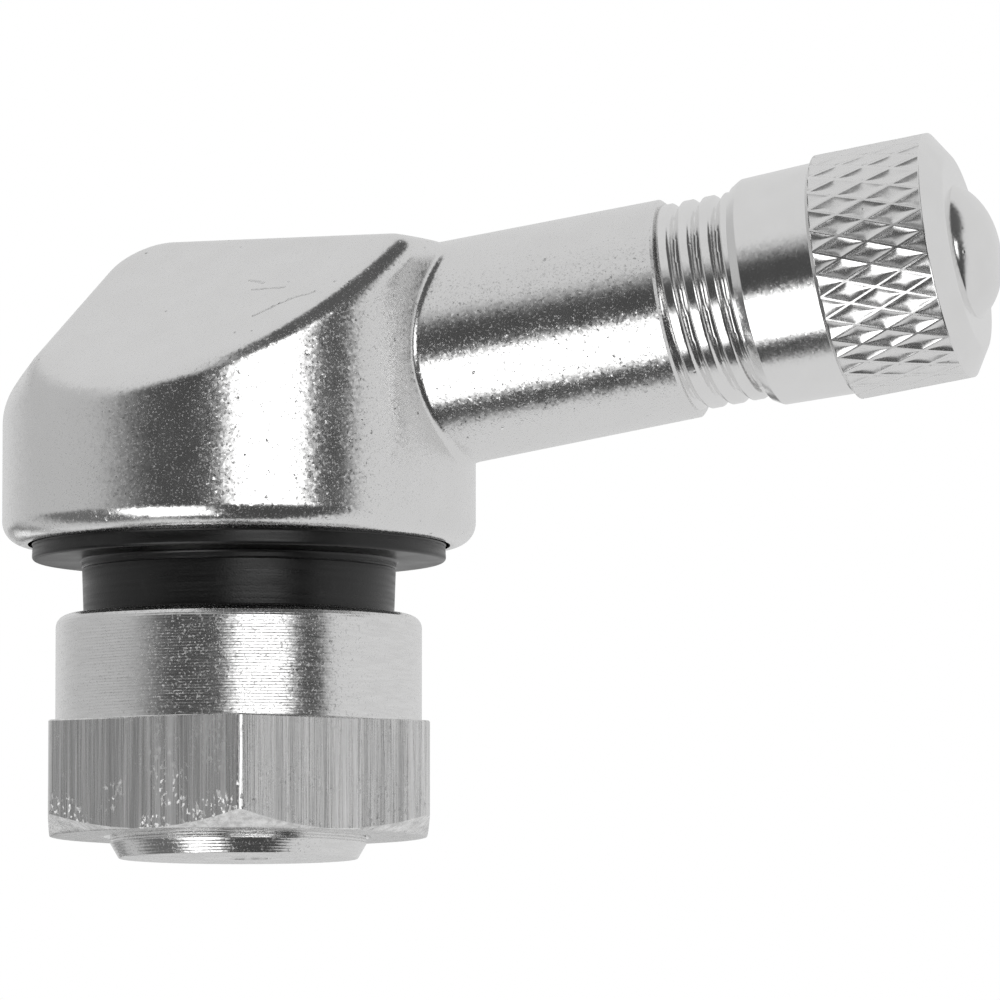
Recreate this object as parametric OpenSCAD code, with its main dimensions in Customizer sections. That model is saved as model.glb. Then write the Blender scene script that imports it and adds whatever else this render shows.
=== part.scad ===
// Angled clamp-in tyre valve for a motorcycle wheel. All lengths are in millimetres.
// The origin is the centre of the rim hole, on the rim face under the seal's flange.
// +Z runs up the base axis, and the stem leans out towards +X.
// Lengths along the stem are counted from the base axis. Threads are plain cylinders.

/* [Elbow base] */
// Wall of the round base around the recess for the seal
base_wall = 0.95; // [0.75:0.05:2.2]
// Height of the top above the rim face, at the base axis
top_z = 11.9; // [11.6:0.05:13]
// Fall of the top towards the stem, in degrees
top_fall = 2; // [0:0.5:4]
// Rounding of the upper forged edges
edge_r = 0.8; // [0.7:0.05:1.5]
// Rounding of the lower forged edge
foot_r = 0.55; // [0.3:0.05:0.7]
// Tilt of the side facets from level, in degrees
facet_tilt = 39; // [35:1:43]
// Turn of the side facets towards the back, in degrees
facet_turn = 18; // [10:1:24]
// Height at which the planes of the side facets cross the base axis
facet_z = 13; // [12.7:0.1:14]
// Tilt of the back facets from level, in degrees
back_tilt = 51; // [47:1:56]
// Turn of the back facets from straight back, in degrees
back_turn = 19; // [12:1:25]
// Distance from the base axis to the back facets, at the height of the top
back_x = 4.2; // [3.5:0.1:5]
// Tilt of the small facet behind the top, in degrees
nose_tilt = 25; // [15:1:35]
// Depth of that facet below the corner that it cuts off
nose_cut = 0.35; // [0.2:0.05:0.6]

/* [Stem] */
// Angle of the stem above level, in degrees
stem_angle = 9.5; // [6:0.5:14]
// Height at which the stem's axis crosses the base axis
stem_z = 6.2; // [5.9:0.1:6.5]
// Diameter of the plain stem at its shoulder
stem_d = 8.15; // [7.9:0.05:8.6]
// Draft on each side of the plain stem, in degrees
stem_draft = 0.4; // [0:0.1:1]
// Distance of the shoulder from the base axis
shoulder_s = 17.15; // [15.5:0.1:22]
// Diameter of the stem's thread
thread_d = 7.7; // [7.5:0.05:7.85]
// Length of the stem's thread
thread_len = 9.6; // [9:0.05:12]
// Chamfer at the shoulder and the tip of the stem
stem_chamfer = 0.3; // [0.1:0.05:0.4]

/* [Air way] */
// Diameter of the hole up through the stud
air_hole_d = 2.2; // [1.5:0.1:3]
// Diameter of the chamber around the valve core
chamber_d = 3.9; // [3.7:0.05:4.2]
// Length of the cone that the core seals on
seat_len = 2.8; // [2.2:0.1:3.2]
// Angle across the drilled end of the chamber, in degrees
drill_angle = 118; // [90:1:135]

/* [Stud and nut] */
// Diameter of the stud's thread
stud_d = 9.5; // [8:0.1:10]
// Length of the stud that stands out of the nut
stud_proud = 0.8; // [0.4:0.1:2]
// Length of the chamfer at the end of the stud
stud_chamfer = 0.55; // [0.2:0.05:0.8]
// Angle of that chamfer from the stud's axis, in degrees
stud_chamfer_angle = 30; // [15:1:45]
// Step from the nut's collar out to the flats of its hexagon
hex_step = 0.2; // [0.05:0.05:1.5]
// Height of the nut's hexagon
hex_h = 4.1; // [3:0.1:8]
// Angle of the chamfer under the hexagon, in degrees
hex_chamfer = 30; // [15:1:40]
// Turn of the hexagon about the base axis, in degrees
hex_turn = 46; // [0:1:59]
// How far the nut's collar stays inside the edge of the seal's flange, across the rim
collar_inset = 0.9; // [0.5:0.05:1.3]
// Height of the nut's round collar
nut_collar_h = 4.1; // [2:0.1:8]
// Rounding of the collar's top edge
nut_edge_r = 0.6; // [0.1:0.1:0.8]
// Countersink at both ends of the nut's thread
nut_countersink = 0.2; // [0.05:0.05:0.4]

/* [Rim seal] */
// Diameter of the seal's collar, which fills the rim hole
seal_collar_d = 11.7; // [11:0.1:12.4]
// Height of the seal's collar, about the thickness of the rim
seal_collar_h = 2.05; // [1.5:0.05:5]
// Diameter of the seal's flange
seal_flange_d = 15.4; // [14:0.1:17]
// Thickness of the seal's flange
seal_flange_t = 1.6; // [1:0.1:1.8]
// How far the flange stands out below the elbow
seal_proud = 0.6; // [0.3:0.05:0.8]
// Gap around the flange in the elbow's recess
seal_gap = 0.15; // [0.1:0.05:0.25]
// Rounding of the seal's edges
seal_edge_r = 0.12; // [0.05:0.01:0.2]

/* [Cap] */
// Thickness of the cap's wall, from its thread to the outside of its knurl
cap_wall = 0.65; // [0.55:0.05:1.2]
// Length of the cap without its dome
cap_len = 8.05; // [7:0.05:9]
// Step from the outside of the knurl down to the plain skirt
skirt_step = 0.24; // [0.1:0.02:0.3]
// How much the skirt's radius shrinks from the knurl to the mouth
skirt_taper = 0.09; // [0:0.01:0.12]
// Length of the chamfer at the cap's mouth
mouth_chamfer = 0.35; // [0.1:0.05:0.6]
// Thickness of the cap's wall at the edge of its mouth
mouth_wall = 0.12; // [0.08:0.02:0.2]
// Thickness of the cap's end wall
cap_end_t = 0.55; // [0.4:0.05:1.2]
// Rounding of the cap's end edge
cap_edge_r = 0.5; // [0.1:0.05:0.55]
// Diameter of the dome on the cap's end
dome_d = 5; // [3:0.1:7]
// Height of that dome
dome_h = 1.15; // [0.5:0.05:1.4]
// Gap around the gasket in the cap
gasket_gap = 0.2; // [0.1:0.05:0.5]
// Thickness of the gasket in the cap
gasket_t = 0.7; // [0.4:0.1:1.2]

/* [Knurl] */
// Length of the knurled band
knurl_len = 4.15; // [3:0.05:4.6]
// Length of the plain rim between the knurl and the cap's end
knurl_rim = 0.7; // [0.6:0.05:1]
// Length of the bevel between the skirt and the knurl
knurl_bevel = 0.25; // [0.1:0.05:0.4]
// Raised lines in each direction
knurl_count = 34; // [20:1:40]
// Angle of the raised lines from the cap's axis, in degrees
knurl_angle = 23; // [18:1:40]
// Depth of the diamonds' floors below the raised lines
knurl_depth = 0.16; // [0.08:0.02:0.22]
// Depth at which the walls of a diamond would meet
knurl_sink = 0.3; // [0.26:0.02:0.5]
// Height by which the raised lines are flattened
knurl_flat = 0.06; // [0.02:0.02:0.2]

/* [Valve core] */
// Diameter of the core's thread
core_d = 5.2; // [5:0.05:5.4]
// Depth of the plug's bridge below the mouth of the stem
core_depth = 0.7; // [0.3:0.1:1.5]
// Height of the plug's bridge
bridge_h = 1.6; // [1:0.1:2]
// Width of the plug's bridge
bridge_w = 3.9; // [3:0.1:4.5]
// Thickness of the plug's bridge
bridge_t = 1.8; // [1.7:0.05:2.2]
// Length of the plug's thread
plug_len = 3; // [2.5:0.1:3.5]
// Diameter of the barrel's head
head_d = 3.8; // [3.4:0.1:4.2]
// Length of the barrel's head
head_len = 1.1; // [0.6:0.1:1.5]
// Diameter of the barrel inside the core's seal
neck_d = 2.9; // [2.7:0.05:3.1]
// Length of the core's seal
core_seal_len = 2; // [1.4:0.1:2.2]
// Diameter of the barrel below the core's seal
barrel_d = 3.2; // [3.1:0.05:3.4]
// Length of the whole barrel
barrel_len = 11.2; // [10:0.1:11.4]
// Diameter of the spring's space in the barrel
barrel_bore_d = 2.2; // [2:0.05:2.4]
// Thickness of the barrel's floor
barrel_floor = 0.7; // [0.5:0.1:1]
// Diameter of the air hole in the barrel's floor
floor_hole_d = 1.6; // [1.4:0.05:1.8]

/* [Pin] */
// Diameter of the pin
pin_d = 1; // [0.8:0.05:1.1]
// Depth of the pin's tip below the mouth of the stem
pin_depth = 0.4; // [0.1:0.1:0.8]
// Gap around the pin in the plug
pin_gap = 0.15; // [0.1:0.05:0.2]
// Diameter of the spring stop on the pin
stop_d = 1.8; // [1.6:0.05:1.9]
// Thickness of the spring stop
stop_t = 0.5; // [0.3:0.1:0.8]
// Gap between the spring stop and the plug
stop_gap = 1.3; // [0.5:0.1:2]
// Diameter of the cup
cup_d = 3; // [2.8:0.05:3.2]
// Height of the cup
cup_h = 1.2; // [0.9:0.05:1.5]
// Wall and floor of the cup
cup_wall = 0.25; // [0.15:0.05:0.3]
// How far the washer stands out of the cup
washer_proud = 0.3; // [0.1:0.05:0.5]
// Diameter of the pin's riveted end
rivet_d = 1.5; // [1.3:0.1:2]
// Length of the pin's riveted end
rivet_len = 0.2; // [0.1:0.05:0.4]
// Diameter of the spring's wire
wire_d = 0.28; // [0.2:0.02:0.32]
// Turns of the spring
spring_turns = 10; // [6:1:14]

/* [Fits] */
// Radial clearance of threads and of parts that fit inside each other
fit_gap = 0.05; // [0.03:0.01:0.08]

/* [Hidden] */

// Facets of a full circle on the round pieces and on the rounded forging
round_fn = 96;
forge_fn = 64;
blend_fn = 24;
blend_steps = 5;
// Length that a cutting shape runs past what it cuts
past = 1;

// Heights along the base axis
base_z = seal_proud;
recess_z = seal_flange_t;
seal_foot_z = -seal_collar_h;
collar_foot_z = seal_foot_z - nut_collar_h;
nut_foot_z = collar_foot_z - hex_h;
stud_end_z = nut_foot_z - stud_proud;

// Places along the stem
mouth_s = shoulder_s + thread_len;
cap_floor_s = mouth_s + gasket_t;
cap_end_s = cap_floor_s + cap_end_t;
cap_mouth_s = cap_end_s - cap_len;
knurl_end_s = cap_end_s - knurl_rim;
knurl_start_s = knurl_end_s - knurl_len;
bridge_s = mouth_s - core_depth;
plug_top_s = bridge_s - bridge_h;
plug_foot_s = plug_top_s - plug_len;
head_foot_s = plug_foot_s - head_len;
seal_foot_s = head_foot_s - core_seal_len;
barrel_foot_s = plug_foot_s - barrel_len;
spring_foot_s = barrel_foot_s + barrel_floor;
stop_top_s = plug_foot_s - stop_gap;
stop_foot_s = stop_top_s - stop_t;
cup_top_s = barrel_foot_s - washer_proud;
cup_foot_s = cup_top_s - cup_h;

// Radii and spans that follow from the sizes above
core_bore_r = core_d / 2 + fit_gap;
chamber_r = chamber_d / 2;
seat_top_s = head_foot_s;
seat_foot_s = seat_top_s - seat_len;
seat_slope = (core_bore_r - chamber_r) / seat_len;
cap_bore_r = thread_d / 2 + fit_gap;
cap_r = cap_bore_r + cap_wall;
skirt_r = cap_r - skirt_step;
stud_bore_r = stud_d / 2 + fit_gap;
recess_d = seal_flange_d + 2 * seal_gap;
base_d = recess_d + 2 * base_wall;
nut_collar_d = seal_flange_d - 2 * collar_inset;
nut_af = nut_collar_d + 2 * hex_step;
washer_d = cup_d - 2 * cup_wall;
dome_r = (pow(dome_d / 2, 2) + pow(dome_h, 2)) / (2 * dome_h);

// Half the knurl's pitch around the cap, and the rows of half diamonds along the band
knurl_step = 180 / knurl_count;
knurl_row = PI * cap_r / knurl_count / tan(knurl_angle);
knurl_rows = max(2, round(knurl_len / knurl_row));

// Puts children on the stem's axis, with their +Z along the stem
module on_stem() {
    translate([0, 0, stem_z])
        rotate([0, 90 - stem_angle, 0])
            children();
}

// Points of an arc in the plane, from one angle to another
function arc(centre, radius, from, to, steps) =
    [for (i = [0:steps]) centre + radius * [cos(from + (to - from) * i / steps),
                                            sin(from + (to - from) * i / steps)]];

// Everything below a tilted plane through a point, moved inwards by an inset
module below_plane(point, heading, tilt, inset) {
    span = 4 * base_d;
    translate(point)
        rotate([0, tilt, heading])
            translate([-span / 2, -span / 2, -span - inset])
                cube(span);
}

// Round solid whose lower edges are tighter than its upper ones
module forged_edge() {
    upper = arc([0, 0], edge_r, 0, 90, blend_steps);
    lower = arc([edge_r - foot_r, 0], foot_r, -90, 0, blend_steps);
    rotate_extrude($fn = blend_fn)
        polygon(concat(upper, [[0, -foot_r]], lower));
}

// Base with its two side facets and its back facet, all edges rounded
module forged_base() {
    minkowski() {
        intersection() {
            translate([0, 0, base_z + foot_r])
                cylinder(h = base_d, r = base_d / 2 - edge_r, $fn = forge_fn);
            below_plane([0, 0, top_z], 0, top_fall, edge_r);
            intersection_for (side = [-1, 1]) {
                below_plane([0, 0, facet_z], side * (90 + facet_turn), facet_tilt, edge_r);
            }
            intersection_for (side = [-1, 1]) {
                below_plane([-back_x, 0, top_z], side * (180 - back_turn), back_tilt, edge_r);
            }
            below_plane([-back_x, 0, top_z], 180, nose_tilt, nose_cut + edge_r);
        }
        forged_edge();
    }
}

// Plain tapered stem with its threaded end
module stem_solid() {
    start_s = stem_d / 4;
    shoulder_r = stem_d / 2;
    start_r = shoulder_r + (shoulder_s - start_s) * tan(stem_draft);
    on_stem()
        rotate_extrude($fn = round_fn)
            polygon([[0, start_s],
                     [start_r, start_s],
                     [shoulder_r, shoulder_s - stem_chamfer],
                     [max(thread_d / 2, shoulder_r - stem_chamfer), shoulder_s],
                     [thread_d / 2, shoulder_s],
                     [thread_d / 2, mouth_s - stem_chamfer],
                     [thread_d / 2 - stem_chamfer, mouth_s],
                     [0, mouth_s]]);
}

// Threaded stud under the base, with its end chamfered
module stud_solid() {
    stud_r = stud_d / 2;
    end_r = stud_r - stud_chamfer * tan(stud_chamfer_angle);
    rotate_extrude($fn = round_fn)
        polygon([[0, stud_end_z],
                 [end_r, stud_end_z],
                 [stud_r, stud_end_z + stud_chamfer],
                 [stud_r, recess_z + past],
                 [0, recess_z + past]]);
}

// Drilled way from the mouth of the stem to the end of the stud
module air_way() {
    tip_s = -chamber_r / 2;
    on_stem()
        rotate_extrude($fn = round_fn)
            polygon([[0, tip_s - chamber_r / tan(drill_angle / 2)],
                     [chamber_r, tip_s],
                     [chamber_r, seat_foot_s],
                     [core_bore_r, seat_top_s],
                     [core_bore_r, mouth_s - stem_chamfer],
                     [core_bore_r + stem_chamfer, mouth_s],
                     [core_bore_r + stem_chamfer, mouth_s + past],
                     [0, mouth_s + past]]);
    translate([0, 0, stud_end_z - past])
        cylinder(h = stem_z - stud_end_z + past, d = air_hole_d, $fn = round_fn);
}

module elbow_body() {
    color("silver")
        difference() {
            union() {
                difference() {
                    forged_base();
                    translate([0, 0, base_z - past])
                        cylinder(h = recess_z - base_z + past, d = recess_d, $fn = round_fn);
                }
                stem_solid();
                stud_solid();
            }
            air_way();
        }
}

module rim_seal() {
    flange_r = seal_flange_d / 2;
    collar_r = seal_collar_d / 2;
    color("#202020")
        rotate_extrude($fn = round_fn)
            polygon(concat([[stud_bore_r, seal_foot_z], [collar_r, seal_foot_z], [collar_r, 0]],
                           arc([flange_r - seal_edge_r, seal_edge_r], seal_edge_r, -90, 0, blend_steps),
                           arc([flange_r - seal_edge_r, seal_flange_t - seal_edge_r], seal_edge_r, 0, 90,
                               blend_steps),
                           [[stud_bore_r, seal_flange_t]]));
}

module clamp_nut() {
    collar_r = nut_collar_d / 2;
    corner_r = nut_af / 2 / cos(30);
    chamfer_h = (corner_r - nut_af / 2) * tan(hex_chamfer);
    sleeve_r = (stud_bore_r + nut_af / 2) / 2;
    sleeve_z = collar_foot_z - hex_h / 2;
    color("silver")
        difference() {
            union() {
                rotate_extrude($fn = round_fn)
                    polygon(concat([[0, sleeve_z], [sleeve_r, sleeve_z], [collar_r, collar_foot_z]],
                                   arc([collar_r - nut_edge_r, seal_foot_z - nut_edge_r], nut_edge_r, 0, 90,
                                       blend_steps),
                                   [[0, seal_foot_z]]));
                intersection() {
                    translate([0, 0, nut_foot_z])
                        rotate([0, 0, hex_turn])
                            cylinder(h = hex_h, r = corner_r, $fn = 6);
                    rotate_extrude($fn = round_fn)
                        polygon([[0, nut_foot_z],
                                 [nut_af / 2, nut_foot_z],
                                 [corner_r, nut_foot_z + chamfer_h],
                                 [corner_r, collar_foot_z],
                                 [0, collar_foot_z]]);
                }
            }
            rotate_extrude($fn = round_fn)
                polygon([[0, nut_foot_z - past],
                         [stud_bore_r + nut_countersink, nut_foot_z - past],
                         [stud_bore_r + nut_countersink, nut_foot_z],
                         [stud_bore_r, nut_foot_z + nut_countersink],
                         [stud_bore_r, seal_foot_z - nut_countersink],
                         [stud_bore_r + nut_countersink, seal_foot_z],
                         [stud_bore_r + nut_countersink, seal_foot_z + past],
                         [0, seal_foot_z + past]]);
        }
}

// Sleeve that cuts the diamonds: its inside lies high along the raised lines and deep inside the diamonds
module knurl_sleeve() {
    columns = 2 * knurl_count;
    deep_r = cap_r - knurl_sink;
    high_r = cap_r + knurl_flat;
    outer_r = high_r + past;
    inside = [for (row = [0:knurl_rows], column = [0:columns - 1])
                 let (angle = column * knurl_step, radius = (row + column) % 2 == 0 ? high_r : deep_r)
                     [radius * cos(angle), radius * sin(angle),
                      knurl_start_s + knurl_len * row / knurl_rows]];
    outside = [for (row = [0, 1], column = [0:columns - 1])
                  let (angle = column * knurl_step)
                      [outer_r * cos(angle), outer_r * sin(angle), knurl_start_s + knurl_len * row]];
    shift = len(inside);
    last = knurl_rows * columns;
    inner_faces = [for (row = [0:knurl_rows - 1], column = [0:columns - 1])
                      let (next = (column + 1) % columns,
                           a = row * columns + column,
                           b = row * columns + next,
                           c = a + columns,
                           d = b + columns)
                          each (row + column) % 2 == 0 ? [[a, b, d], [a, d, c]] : [[a, b, c], [b, d, c]]];
    rim_faces = [for (column = [0:columns - 1])
                    let (next = (column + 1) % columns)
                        each [[column, shift + column, shift + next, next],
                              [last + column, last + next, shift + columns + next, shift + columns + column],
                              [shift + column, shift + columns + column, shift + columns + next, shift + next]]];
    difference() {
        polyhedron(points = concat(inside, outside), faces = concat(inner_faces, rim_faces), convexity = 10);
        translate([0, 0, knurl_start_s - past])
            cylinder(h = knurl_len + 2 * past, r = cap_r - knurl_depth, $fn = round_fn);
    }
}

module valve_cap() {
    color("silver")
        on_stem()
            difference() {
                union() {
                    rotate_extrude($fn = round_fn)
                        polygon(concat([[0, cap_mouth_s],
                                        [cap_bore_r + mouth_wall, cap_mouth_s],
                                        [skirt_r - skirt_taper, cap_mouth_s + mouth_chamfer],
                                        [skirt_r, knurl_start_s - knurl_bevel],
                                        [cap_r, knurl_start_s]],
                                       arc([cap_r - cap_edge_r, cap_end_s - cap_edge_r], cap_edge_r, 0, 90,
                                           blend_steps),
                                       [[0, cap_end_s]]));
                    intersection() {
                        translate([0, 0, cap_end_s + dome_h - dome_r])
                            sphere(r = dome_r, $fn = round_fn);
                        translate([0, 0, cap_floor_s + cap_end_t / 2])
                            cylinder(h = dome_h + cap_end_t, d = dome_d, $fn = round_fn);
                    }
                }
                translate([0, 0, cap_mouth_s - past])
                    cylinder(h = cap_floor_s - cap_mouth_s + past, r = cap_bore_r, $fn = round_fn);
                knurl_sleeve();
            }
}

module cap_gasket() {
    color("#202020")
        on_stem()
            translate([0, 0, mouth_s])
                cylinder(h = gasket_t, r = cap_bore_r - gasket_gap, $fn = round_fn);
}

module core_plug() {
    color("goldenrod")
        on_stem()
            difference() {
                union() {
                    translate([0, 0, plug_foot_s])
                        cylinder(h = plug_len, d = core_d, $fn = round_fn);
                    intersection() {
                        translate([0, 0, plug_top_s])
                            cylinder(h = bridge_h, d = bridge_w, $fn = round_fn);
                        translate([-bridge_w, -bridge_t / 2, plug_top_s - past])
                            cube([2 * bridge_w, bridge_t, bridge_h + 2 * past]);
                    }
                }
                translate([0, 0, plug_foot_s - past])
                    cylinder(h = plug_len + bridge_h + 2 * past, r = pin_d / 2 + pin_gap, $fn = round_fn);
            }
}

module core_barrel() {
    color("goldenrod")
        on_stem()
            rotate_extrude($fn = round_fn)
                polygon([[floor_hole_d / 2, barrel_foot_s],
                         [barrel_d / 2, barrel_foot_s],
                         [barrel_d / 2, seal_foot_s],
                         [neck_d / 2, seal_foot_s],
                         [neck_d / 2, head_foot_s],
                         [head_d / 2, head_foot_s],
                         [head_d / 2, plug_foot_s],
                         [barrel_bore_d / 2, plug_foot_s],
                         [barrel_bore_d / 2, spring_foot_s],
                         [floor_hole_d / 2, spring_foot_s]]);
}

module core_seal() {
    foot_r = chamber_r + (seal_foot_s - seat_foot_s) * seat_slope - fit_gap;
    color("darkred")
        on_stem()
            rotate_extrude($fn = round_fn)
                polygon([[neck_d / 2, seal_foot_s],
                         [foot_r, seal_foot_s],
                         [core_bore_r - fit_gap, head_foot_s],
                         [neck_d / 2, head_foot_s]]);
}

module core_pin() {
    color("goldenrod")
        on_stem()
            rotate_extrude($fn = round_fn)
                polygon([[0, cup_foot_s - rivet_len],
                         [rivet_d / 2, cup_foot_s - rivet_len],
                         [rivet_d / 2, cup_foot_s],
                         [pin_d / 2, cup_foot_s],
                         [pin_d / 2, stop_foot_s],
                         [stop_d / 2, stop_foot_s],
                         [stop_d / 2, stop_top_s],
                         [pin_d / 2, stop_top_s],
                         [pin_d / 2, mouth_s - pin_depth],
                         [0, mouth_s - pin_depth]]);
}

module core_spring() {
    sides = 8;
    steps_per_turn = 16;
    steps = spring_turns * steps_per_turn;
    wire_r = wire_d / 2;
    coil_r = (barrel_bore_d + pin_d) / 4;
    start_s = spring_foot_s + wire_r;
    rise = stop_foot_s - wire_r - start_s;
    points = [for (step = [0:steps], side = [0:sides - 1])
                 let (turn = 360 * step / steps_per_turn,
                      radius = coil_r + wire_r * cos(360 * side / sides))
                     [radius * cos(turn), radius * sin(turn),
                      start_s + rise * step / steps + wire_r * sin(360 * side / sides)]];
    walls = [for (step = [0:steps - 1], side = [0:sides - 1])
                let (next = (side + 1) % sides, a = step * sides, b = a + sides)
                    each [[a + side, b + next, b + side], [a + side, a + next, b + next]]];
    ends = [[for (side = [sides - 1:-1:0]) side],
            [for (side = [0:sides - 1]) steps * sides + side]];
    color("gainsboro")
        on_stem()
            polyhedron(points = points, faces = concat(walls, ends), convexity = 10);
}

module pin_cup() {
    color("goldenrod")
        on_stem()
            rotate_extrude($fn = round_fn)
                polygon([[pin_d / 2 + fit_gap, cup_foot_s],
                         [cup_d / 2, cup_foot_s],
                         [cup_d / 2, cup_top_s],
                         [washer_d / 2, cup_top_s],
                         [washer_d / 2, cup_foot_s + cup_wall],
                         [pin_d / 2 + fit_gap, cup_foot_s + cup_wall]]);
}

module pin_seal() {
    washer_foot_s = cup_foot_s + cup_wall;
    color("#202020")
        on_stem()
            rotate_extrude($fn = round_fn)
                polygon([[pin_d / 2 + fit_gap, washer_foot_s],
                         [washer_d / 2 - fit_gap, washer_foot_s],
                         [washer_d / 2 - fit_gap, barrel_foot_s],
                         [pin_d / 2 + fit_gap, barrel_foot_s]]);
}

elbow_body();
rim_seal();
clamp_nut();
valve_cap();
cap_gasket();
core_plug();
core_barrel();
core_seal();
core_pin();
core_spring();
pin_cup();
pin_seal();
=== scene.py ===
import math

import bmesh
import bpy
import numpy as np
from mathutils import Matrix


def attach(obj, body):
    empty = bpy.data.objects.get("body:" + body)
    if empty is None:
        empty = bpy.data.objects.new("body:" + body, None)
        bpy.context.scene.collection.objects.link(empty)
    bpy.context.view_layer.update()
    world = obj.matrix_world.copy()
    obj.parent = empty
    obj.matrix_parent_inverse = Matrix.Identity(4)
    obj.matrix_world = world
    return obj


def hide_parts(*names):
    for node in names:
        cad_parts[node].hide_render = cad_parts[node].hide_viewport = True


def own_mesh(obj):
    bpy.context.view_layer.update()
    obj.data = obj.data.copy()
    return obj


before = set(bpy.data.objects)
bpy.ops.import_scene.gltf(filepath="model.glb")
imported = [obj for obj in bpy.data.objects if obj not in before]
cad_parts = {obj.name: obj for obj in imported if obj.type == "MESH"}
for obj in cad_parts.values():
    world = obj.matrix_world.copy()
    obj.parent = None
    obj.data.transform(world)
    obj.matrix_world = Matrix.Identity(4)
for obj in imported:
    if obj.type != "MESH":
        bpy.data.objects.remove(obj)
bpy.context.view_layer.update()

# Sizes are in millimetres, as in the CAD model, and angles in degrees
MM = 0.001

# Forged elbow: its planes, the roundings of its edges and the recess under it
BASE_R, BASE_Z, TOP_Z, TOP_FALL = 8.8, 0.6, 11.9, 2.0
SIDE_TILT, SIDE_TURN, SIDE_Z = 39.0, 18.0, 13.0
BACK_TILT, BACK_TURN, BACK_X = 51.0, 19.0, 4.2
NOSE_TILT, NOSE_CUT = 25.0, 0.35
EDGE_R, SOFT_R, ROOT_R = 0.8, 3.0, 0.25
BACK_EDGE_R, BACK_EDGE_X, BACK_EDGE_RUN = 2.4, 0.5, 6.0
FOOT_R, FOOT_TOP = 0.84, 1.9
RECESS_R, RECESS_Z = 7.85, 1.6

# Scratches on the near facet, each from its start to its end
FACET_SCRATCHES = (((1.91, -5.07, 9.57), (3.22, -5.48, 9.59)),
                   ((2.37, -6.72, 8.42), (3.84, -6.28, 9.12)),
                   ((3.84, -6.28, 9.12), (4.61, -6.32, 9.29)),
                   ((1.63, -4.42, 10.0), (2.24, -4.82, 9.85)))
SCRATCH_W = 0.07

# Rays that find the elbow's skin: along the stem's wall, over its root and over the body
ROOT_S, STEM_STEP = 10.6, 0.25
ROOT_ANGLE, ROOT_STEP, BODY_ANGLE, LAST_ANGLE, BODY_ROWS = 21.6, 0.36, 36.0, 179.4, 168
RAY_NEAR, RAY_FAR, RAY_HALVINGS = 2.0, 40.0, 34
SKIN_COLUMNS, RECESS_COLUMNS = 320, 192

# How far pieces of the elbow reach behind each other, out of sight
SEAM_DEPTH, SEAM_HEIGHT = 0.01, 0.1
STUD_LAP, STUD_SINK, THREAD_LAP, THREAD_SINK = 0.1, 0.3, 0.3, 0.2

# Stem and its thread, counted along the stem from the base axis
STEM_ANGLE, STEM_Z, STEM_START = 9.5, 6.2, 1.0
STEM_R, STEM_DRAFT, SHOULDER_S, MOUTH_S = 4.075, 0.4, 17.15, 26.75
SHOULDER_CHAMFER, MOUTH_R, MOUTH_RUN_OUT = 0.1, 0.32, 0.35
CORE_BORE_R, CORE_CHAMFER, CORE_EDGE_R = 2.65, 0.3, 0.06
THREAD_R, THREAD_PITCH, THREAD_DEPTH, THREAD_SHIFT = 3.85, 0.79375, 0.34, 0.09

# Form of every thread: how far its root is filled, how full its flanks are and how flat its crest is
ROOT_LIFT, FLANK_POWER, CREST_CUT = 0.03, 0.36, 1.16

# Stud, nut and seal
STUD_R, STUD_END, STUD_CHAMFER, STUD_CHAMFER_ANGLE = 4.75, -11.05, 0.55, 30.0
STUD_PITCH, STUD_DEPTH, STUD_LEAD, STUD_RUN_OUT = 1.0, 0.42, 1.4, 0.5
STUD_EDGE_R, STUD_END_R = 0.05, 0.06
AIR_HOLE_R, AIR_HOLE_DEPTH, AIR_HOLE_CHAMFER = 1.1, 9.0, 0.12
NUT_FLAT_R, NUT_CORNER_R, NUT_TURN = 7.0, 0.32, 46.0
NUT_FOOT, HEX_TOP, NUT_TOP, NUT_COLLAR_R, NUT_EDGE_R = -10.25, -6.15, -2.05, 6.8, 0.45
HEX_CHAMFER, HEX_CHAMFER_RISE, HEX_EDGE_R, HEX_FOOT_EDGE = 30.0, 0.03, 0.05, 0.02
COLLAR_ROOT, COLLAR_ROOT_R = 0.08, 0.06
NUT_BORE_R, COUNTERSINK, COUNTERSINK_R = 4.8, 0.2, 0.04
NUT_THREAD_DEPTH, NUT_LEAD, NUT_RUN_OUT = 0.3, 1.2, 0.6
SEAL_FLANGE_R, SEAL_COLLAR_R, SEAL_FOOT, SEAL_TOP = 7.7, 5.85, -2.05, 1.6
SEAL_DRAFT, SEAL_FOOT_R, SEAL_EDGE_R, FLANGE_EDGE_R = 0.08, 0.1, 0.12, 0.14

# Cap, along the stem
CAP_R, CAP_BORE_R, CAP_MOUTH, CAP_FLOOR, CAP_END = 4.55, 3.9, 19.95, 27.45, 28.0
SKIRT_R, SKIRT_MOUTH_R, MOUTH_CHAMFER, MOUTH_CHAMFER_R = 4.31, 4.22, 0.35, 0.15
MOUTH_EDGE_R, MOUTH_LAND, BORE_LEAD = 4.02, 0.04, 0.12
KNURL_START, KNURL_END, KNURL_BEVEL = 23.15, 27.3, 0.14
KNURL_COUNT, KNURL_ROWS, KNURL_DEPTH, RIDGE_HALF, FLOOR_EDGE = 34, 4, 0.07, 0.05, 0.44
RIM_LAND, RIM_W, RIM_FALL, RIM_R = 0.05, 0.95, 0.02, 0.4
DOME_R, DOME_H, DOME_FLATNESS, DOME_FULLNESS, DOME_ROWS = 2.5, 1.15, 2.4, 0.8, 22
CAP_THREAD_DEPTH, CAP_LEAD, CAP_REST, CAP_RUN_OUT = 0.3, 0.6, 0.8, 0.3

# Spring in the valve core, along the stem
SPRING_FOOT, SPRING_TOP, COIL_R, WIRE_R, SPRING_TURNS = 10.95, 19.65, 0.8, 0.14, 10

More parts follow.
